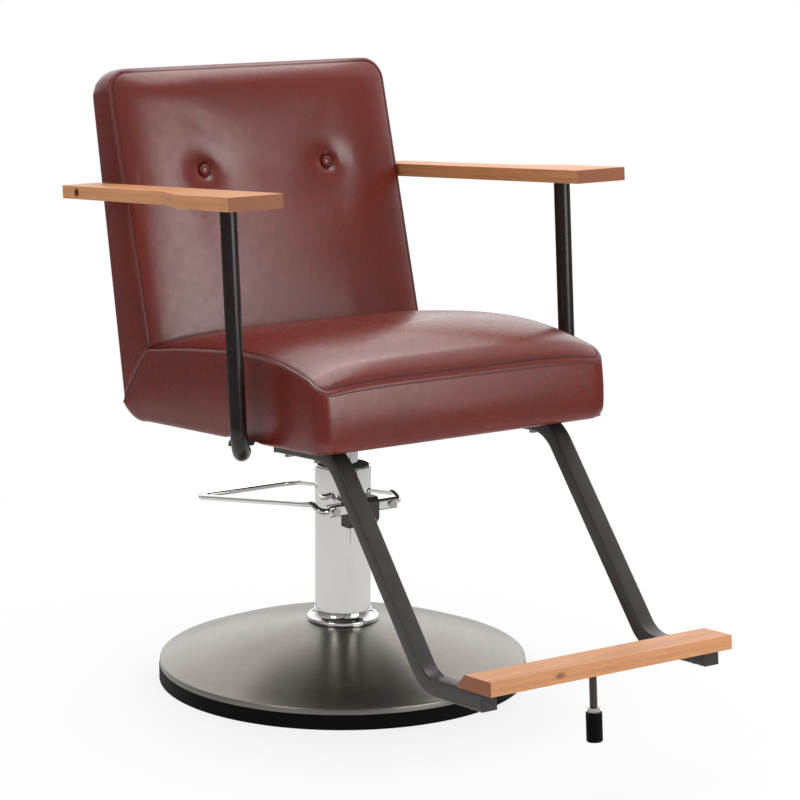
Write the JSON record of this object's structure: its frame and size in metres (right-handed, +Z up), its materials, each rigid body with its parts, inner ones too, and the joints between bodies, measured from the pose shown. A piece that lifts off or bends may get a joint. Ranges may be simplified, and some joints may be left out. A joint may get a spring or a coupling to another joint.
{
  "type": "hydraulic salon chair",
  "caption": "Height-adjustable swivelling salon chair with a padded seat and back, flat wooden arms, a footrest plank on bent legs and a foot lever on a round base.",
  "frame": {"origin": "centre of the round base on the floor", "axes": "+Z up, the chair faces -Y, the sitter's right is -X"},
  "size_m": [0.6756, 0.992, 0.9113],
  "materials": {
    "leather": "satin",
    "wood": "satin",
    "plywood": "matte",
    "dark_steel": "satin",
    "chrome": "polished",
    "cover_steel": "satin",
    "iron": "matte",
    "steel": "satin",
    "rubber": "matte",
    "black_plastic": "matte",
    "lining": "matte"
  },
  "bodies": {
    "base": {"base_plate": "iron", "base_rubber_rim": "rubber", "base_cover": "cover_steel", "column_foot_ring": "chrome", "pump_foot": "iron", "pump_foot_bolts": "steel", "column": "chrome", "ram_barrel": "steel", "rod_gland": "black_plastic", "lever_bracket": "dark_steel", "lever_bracket_screws": "steel", "pump_sleeve": "steel"},
    "lift": {"piston_rod": "chrome", "piston": "steel", "piston_seal": "rubber", "thrust_washer": "steel"},
    "lever": {"lever_loop": "chrome", "lever_shaft": "chrome", "lever_clamp_right": "chrome", "lever_clamp_left": "chrome", "lever_clamp_bolts": "steel", "lever_rocker": "steel"},
    "plunger": {"pump_plunger": "steel"},
    "seat": {"swivel_hub": "chrome", "seat_plate": "dark_steel", "seat_plate_bolts": "steel", "seat_dust_cloth": "lining", "seat_board": "plywood", "seat_cushion": "leather", "back_cushion": "leather", "back_buttons": "leather", "back_board": "plywood", "back_panel": "leather", "back_strap_left": "dark_steel", "back_strap_right": "dark_steel", "strap_seat_bolts": "steel", "strap_back_bolts": "steel", "leg_tube_left": "dark_steel", "leg_tube_right": "dark_steel", "leg_bolts": "steel", "leg_end_caps": "black_plastic", "footrest_plank": "wood", "footrest_screws": "steel", "bumper_flange": "dark_steel", "bumper_rod": "dark_steel", "bumper_nut": "steel", "bumper_rubber": "rubber", "arm_left": "wood", "arm_right": "wood", "arm_bolts": "steel", "arm_spacers": "dark_steel", "arm_post_left": "dark_steel", "arm_post_right": "dark_steel", "post_flange_left": "dark_steel", "post_flange_right": "dark_steel", "post_flange_bolts": "steel", "post_plugs": "steel"}
  },
  "joints": [
    {"name": "lift", "type": "slide", "parent": "base", "child": "lift", "axis": [0, 0, 1], "range_m": [0, 0.15]},
    {"name": "swivel", "type": "hinge", "parent": "lift", "child": "seat", "pos_m": [0, 0, 0.356], "axis": [0, 0, 1], "continuous": true},
    {"name": "pump_lever", "type": "hinge", "parent": "base", "child": "lever", "pos_m": [0, -0.05, 0.272], "axis": [-1, 0, 0], "range_deg": [0, 25], "stiffness_Nm_per_rad": 6, "springref_deg": -28.65},
    {"name": "plunger", "type": "slide", "parent": "base", "child": "plunger", "axis": [0, 0, -1], "range_m": [0, 0.007]}
  ],
  "couplings": [
    {"joint": "plunger", "follows": "pump_lever", "m_per_rad": 0.015873}
  ]
}
